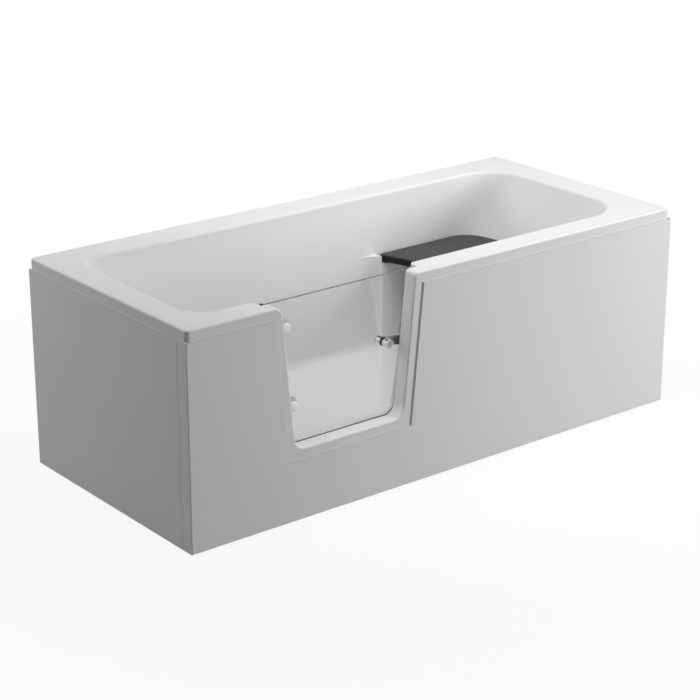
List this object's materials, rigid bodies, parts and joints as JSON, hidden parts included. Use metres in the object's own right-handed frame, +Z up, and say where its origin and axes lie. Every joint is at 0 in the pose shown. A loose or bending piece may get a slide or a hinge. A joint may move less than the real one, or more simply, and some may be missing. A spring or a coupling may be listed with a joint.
{
  "type": "walk-in bathtub",
  "caption": "White rectangular walk-in bathtub with a glass door in its long side, turn latch, loose seat board, clip-on panels, levelling cradle and waste.",
  "frame": {"origin": "middle of the footprint, on the floor under the feet", "axes": "+X along the tub towards the seat end, -Y towards the door side, +Z up"},
  "size_m": [1.7, 0.75, 0.6],
  "materials": {
    "acrylic_white": "gloss",
    "panel_white": "gloss",
    "door_glass": "clear",
    "seal_rubber": "matt",
    "profile_grey": "satin",
    "cap_white": "gloss",
    "chrome": "polished",
    "hinge_steel": "brushed",
    "seat_graphite": "satin",
    "board_wood": "raw chipboard",
    "frame_steel": "galvanised",
    "zinc_steel": "zinc plated",
    "foot_black": "matt",
    "waste_plastic": "satin"
  },
  "bodies": {
    "tub": {"base_board": "board_wood", "bracket_screws": "zinc_steel", "door_seal": "seal_rubber", "drain_cup": "waste_plastic", "drain_flange": "chrome", "drain_gasket": "seal_rubber", "end_panel": "panel_white", "foot_nuts": "zinc_steel", "foot_pad_1": "foot_black", "foot_pad_2": "foot_black", "foot_pad_3": "foot_black", "foot_pad_4": "foot_black", "foot_pad_5": "foot_black", "foot_pad_6": "foot_black", "foot_studs": "zinc_steel", "frame_cross_back_end": "frame_steel", "frame_cross_door": "frame_steel", "frame_cross_foot_end": "frame_steel", "frame_cross_middle": "frame_steel", "frame_cross_seat": "frame_steel", "frame_post_back_left": "frame_steel", "frame_post_back_right": "frame_steel", "frame_post_door_left": "frame_steel", "frame_post_door_right": "frame_steel", "frame_post_front_left": "frame_steel", "frame_post_front_right": "frame_steel", "frame_rail_back": "frame_steel", "frame_rail_front": "frame_steel", "front_panel": "panel_white", "hinge_pin_lower": "hinge_steel", "hinge_pin_upper": "hinge_steel", "hinge_screws": "hinge_steel", "hinge_tub_leaf_lower": "hinge_steel", "hinge_tub_leaf_upper": "hinge_steel", "keeper_screws": "hinge_steel", "latch_keeper": "chrome", "overflow_body": "waste_plastic", "overflow_cover": "chrome", "overflow_gasket": "seal_rubber", "overflow_pipe": "waste_plastic", "panel_brackets": "zinc_steel", "strike_profile": "profile_grey", "tub_shell": "acrylic_white", "waste_outlet": "waste_plastic", "waste_trap": "waste_plastic"},
    "door": {"door_glass": "door_glass", "hinge_glass_leaf_upper": "hinge_steel", "hinge_glass_leaf_lower": "hinge_steel", "hinge_pads": "seal_rubber", "hinge_cap_upper": "cap_white", "hinge_cap_lower": "cap_white", "latch_bush": "chrome", "latch_washer": "chrome"},
    "latch": {"latch_knob_outer": "chrome", "latch_knob_inner": "chrome", "latch_spindle": "hinge_steel", "latch_paddle": "chrome"},
    "seat": {"seat_board": "seat_graphite", "seat_pads": "seal_rubber"},
    "plug": {"drain_plug": "chrome"}
  },
  "joints": [
    {"name": "door_swing", "type": "hinge", "parent": "tub", "child": "door", "pos_m": [-0.53911, -0.3075, 0.201], "axis": [-0.0976, 0, 0.9952], "range_deg": [0, 90]},
    {"name": "latch_turn", "type": "hinge", "parent": "door", "child": "latch", "pos_m": [-0.18292, -0.317, 0.408], "axis": [0, -1, 0], "range_deg": [0, 22]},
    {"name": "seat_lift", "type": "slide", "parent": "tub", "child": "seat", "axis": [0, 0, 1], "range_m": [0, 0.2]},
    {"name": "plug_lift", "type": "slide", "parent": "tub", "child": "plug", "axis": [0, 0, 1], "range_m": [0, 0.008]}
  ]
}
